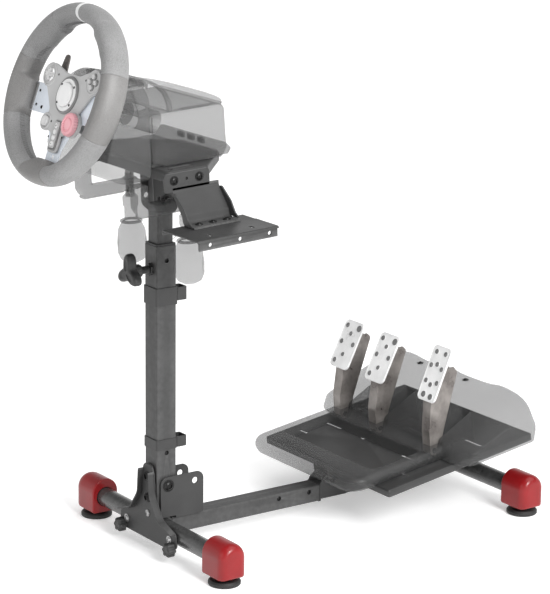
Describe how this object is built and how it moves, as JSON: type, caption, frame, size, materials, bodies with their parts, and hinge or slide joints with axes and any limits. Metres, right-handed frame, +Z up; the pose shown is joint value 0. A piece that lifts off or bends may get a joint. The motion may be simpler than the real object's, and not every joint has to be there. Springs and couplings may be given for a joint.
{
  "type": "racing wheel rig",
  "caption": "Racing wheel on a folding steel stand: force-feedback wheel on a tilting plate, shifter shelf, telescopic mast, floor beam and three sprung pedals.",
  "frame": {"origin": "bottom centre of the bounding box, on the floor", "axes": "+Z up, +Y forward from the driver towards the pedals, +X to the driver's right"},
  "size_m": [0.492, 0.9054, 0.9274],
  "materials": {
    "powder_coat": "satin black powder coat with a fine texture",
    "tube_paint": "semi-gloss black paint",
    "red_plastic": "bright red moulded plastic, soft gloss",
    "rubber": "matt black rubber",
    "black_plastic": "black moulded plastic",
    "shell_dark": "mid-grey moulded shell, fine grain",
    "shell_light": "lighter grey moulded shell, fine grain",
    "grip": "grey stitched leather",
    "aluminium": "brushed aluminium",
    "steel": "zinc-plated steel",
    "pad_metal": "bright brushed pedal plate",
    "button_grey": "pale grey button plastic",
    "dial_red": "muted red dial"
  },
  "bodies": {
    "floor_frame": {"rear_cross_tube": "tube_paint", "end_cap_rear_left": "red_plastic", "end_cap_rear_right": "red_plastic", "hinge_bracket": "powder_coat", "mast_pivot_bolt": "tube_paint", "beam_outer": "powder_coat"},
    "front_frame": {"beam_inner": "powder_coat", "front_cross_tube": "tube_paint", "end_cap_front_left": "red_plastic", "end_cap_front_right": "red_plastic"},
    "foot_rl": {"foot_rear_left": "rubber"},
    "foot_rr": {"foot_rear_right": "rubber"},
    "foot_fl": {"foot_front_left": "rubber"},
    "foot_fr": {"foot_front_right": "rubber"},
    "pedal_tray": {"pedal_plate": "powder_coat", "pedal_base": "shell_light"},
    "clutch": {"clutch_arm": "steel", "clutch_pad": "pad_metal"},
    "brake": {"brake_arm": "steel", "brake_pad": "pad_metal"},
    "throttle": {"throttle_arm": "steel", "throttle_pad": "pad_metal"},
    "mast": {"mast_outer": "powder_coat", "telescope_bushing": "black_plastic", "gusset_plate": "powder_coat", "cable_clip_lower": "black_plastic", "cable_clip_upper": "black_plastic"},
    "knob": {"height_knob": "black_plastic"},
    "mast_top": {"mast_inner": "powder_coat", "tilt_bolt": "tube_paint"},
    "wheel_mount": {"tilt_bracket": "powder_coat", "wheel_plate": "powder_coat", "shifter_arm": "powder_coat", "shifter_plate": "powder_coat", "base_front_housing": "shell_dark", "base_lower_housing": "shell_light", "base_upper_cover": "shell_dark", "motor": "steel", "shaft_bearing": "steel", "clamp_arm_left": "shell_dark", "clamp_arm_right": "shell_dark"},
    "clamp_l": {"clamp_screw_left": "shell_light"},
    "clamp_r": {"clamp_screw_right": "shell_light"},
    "steering": {"rim_grip": "grip", "spoke_plate": "aluminium", "hub_housing": "shell_dark", "hub_cap": "shell_light", "wheel_shaft": "steel", "drive_gear": "steel"},
    "pinion": {"pinion": "steel"},
    "paddle_l": {"paddle_left": "aluminium"},
    "paddle_r": {"paddle_right": "aluminium"},
    "dpad": {"dpad": "button_grey"},
    "b_left": {"button_left": "button_grey"},
    "b_right": {"button_right": "button_grey"},
    "b_upper": {"button_upper": "button_grey"},
    "b_lower": {"button_lower": "button_grey"},
    "thumb": {"thumb_button": "button_grey"},
    "rocker": {"rocker": "button_grey"},
    "dial": {"dial": "dial_red"}
  },
  "joints": [
    {"name": "beam_extension", "type": "slide", "parent": "floor_frame", "child": "front_frame", "axis": [0, 1, 0], "range_m": [0, 0.09]},
    {"name": "foot_rear_left_screw", "type": "slide", "parent": "floor_frame", "child": "foot_rl", "axis": [0, 0, -1], "range_m": [0, 0.008]},
    {"name": "foot_rear_right_screw", "type": "slide", "parent": "floor_frame", "child": "foot_rr", "axis": [0, 0, -1], "range_m": [0, 0.008]},
    {"name": "foot_front_left_screw", "type": "slide", "parent": "front_frame", "child": "foot_fl", "axis": [0, 0, -1], "range_m": [0, 0.008]},
    {"name": "foot_front_right_screw", "type": "slide", "parent": "front_frame", "child": "foot_fr", "axis": [0, 0, -1], "range_m": [0, 0.008]},
    {"name": "tray_tilt", "type": "hinge", "parent": "front_frame", "child": "pedal_tray", "pos_m": [-0.016, 0.13901, 0.06], "axis": [1, 0, 0], "range_deg": [0, 10]},
    {"name": "clutch_press", "type": "hinge", "parent": "pedal_tray", "child": "clutch", "pos_m": [-0.152, 0.26933, 0.1228], "axis": [-1, 0, 0], "range_deg": [0, 20], "stiffness_Nm_per_rad": 25, "springref_deg": -14.32},
    {"name": "brake_press", "type": "hinge", "parent": "pedal_tray", "child": "brake", "pos_m": [-0.047, 0.26933, 0.1228], "axis": [-1, 0, 0], "range_deg": [0, 13], "stiffness_Nm_per_rad": 60, "springref_deg": -8.59},
    {"name": "throttle_press", "type": "hinge", "parent": "pedal_tray", "child": "throttle", "pos_m": [0.108, 0.26933, 0.1228], "axis": [-1, 0, 0], "range_deg": [0, 22], "stiffness_Nm_per_rad": 15, "springref_deg": -20.05},
    {"name": "mast_fold", "type": "hinge", "parent": "floor_frame", "child": "mast", "pos_m": [-0.016, -0.20799, 0.116], "axis": [-1, 0, 0], "range_deg": [0, 60]},
    {"name": "height_knob_turn", "type": "hinge", "parent": "mast", "child": "knob", "pos_m": [-0.016, -0.26299, 0.485], "axis": [0, -1, 0], "continuous": true},
    {"name": "mast_height", "type": "slide", "parent": "mast", "child": "mast_top", "axis": [0, 0, 1], "range_m": [-0.03, 0.12]},
    {"name": "plate_tilt", "type": "hinge", "parent": "mast_top", "child": "wheel_mount", "pos_m": [-0.016, -0.20799, 0.6], "axis": [1, 0, 0], "range_deg": [-10, 10]},
    {"name": "clamp_left_screw", "type": "slide", "parent": "wheel_mount", "child": "clamp_l", "axis": [0, 0.048, -0.9988], "range_m": [0, 0.015]},
    {"name": "clamp_right_screw", "type": "slide", "parent": "wheel_mount", "child": "clamp_r", "axis": [0, 0.048, -0.9988], "range_m": [0, 0.015]},
    {"name": "wheel_turn", "type": "hinge", "parent": "wheel_mount", "child": "steering", "pos_m": [-0.016, -0.39299, 0.79], "axis": [0, 0.9397, -0.342], "range_deg": [-450, 450]},
    {"name": "pinion_spin", "type": "hinge", "parent": "wheel_mount", "child": "pinion", "pos_m": [0.02255, -0.30654, 0.75853], "axis": [0, 0.9397, -0.342], "range_deg": [-1351, 1351]},
    {"name": "paddle_left_pull", "type": "hinge", "parent": "steering", "child": "paddle_l", "pos_m": [-0.053, -0.36292, 0.77906], "axis": [0, -0.342, -0.9397], "range_deg": [0, 5], "stiffness_Nm_per_rad": 1.5, "springref_deg": -2.86},
    {"name": "paddle_right_pull", "type": "hinge", "parent": "steering", "child": "paddle_r", "pos_m": [0.021, -0.36292, 0.77906], "axis": [0, 0.342, 0.9397], "range_deg": [0, 5], "stiffness_Nm_per_rad": 1.5, "springref_deg": -2.86},
    {"name": "dpad_rock", "type": "hinge", "parent": "steering", "child": "dpad", "pos_m": [-0.083, -0.37317, 0.80939], "axis": [0, 0.342, 0.9397], "range_deg": [-4, 4], "stiffness_Nm_per_rad": 0.4},
    {"name": "button_left_press", "type": "slide", "parent": "steering", "child": "b_left", "axis": [0, 0.9397, -0.342], "range_m": [0, 0.0015], "stiffness_N_per_m": 400, "springref_m": -0.0008},
    {"name": "button_right_press", "type": "slide", "parent": "steering", "child": "b_right", "axis": [0, 0.9397, -0.342], "range_m": [0, 0.0015], "stiffness_N_per_m": 400, "springref_m": -0.0008},
    {"name": "button_upper_press", "type": "slide", "parent": "steering", "child": "b_upper", "axis": [0, 0.9397, -0.342], "range_m": [0, 0.0015], "stiffness_N_per_m": 400, "springref_m": -0.0008},
    {"name": "button_lower_press", "type": "slide", "parent": "steering", "child": "b_lower", "axis": [0, 0.9397, -0.342], "range_m": [0, 0.0015], "stiffness_N_per_m": 400, "springref_m": -0.0008},
    {"name": "thumb_press", "type": "slide", "parent": "steering", "child": "thumb", "axis": [0, 0.9397, -0.342], "range_m": [0, 0.0015], "stiffness_N_per_m": 400, "springref_m": -0.0008},
    {"name": "rocker_tilt", "type": "hinge", "parent": "steering", "child": "rocker", "pos_m": [-0.016, -0.40113, 0.72379], "axis": [1, 0, 0], "range_deg": [-3, 3], "stiffness_Nm_per_rad": 0.4},
    {"name": "dial_turn", "type": "hinge", "parent": "steering", "child": "dial", "pos_m": [0.022, -0.40018, 0.74686], "axis": [0, 0.9397, -0.342], "continuous": true}
  ],
  "couplings": [
    {"joint": "pinion_spin", "follows": "wheel_turn", "ratio": -3}
  ]
}
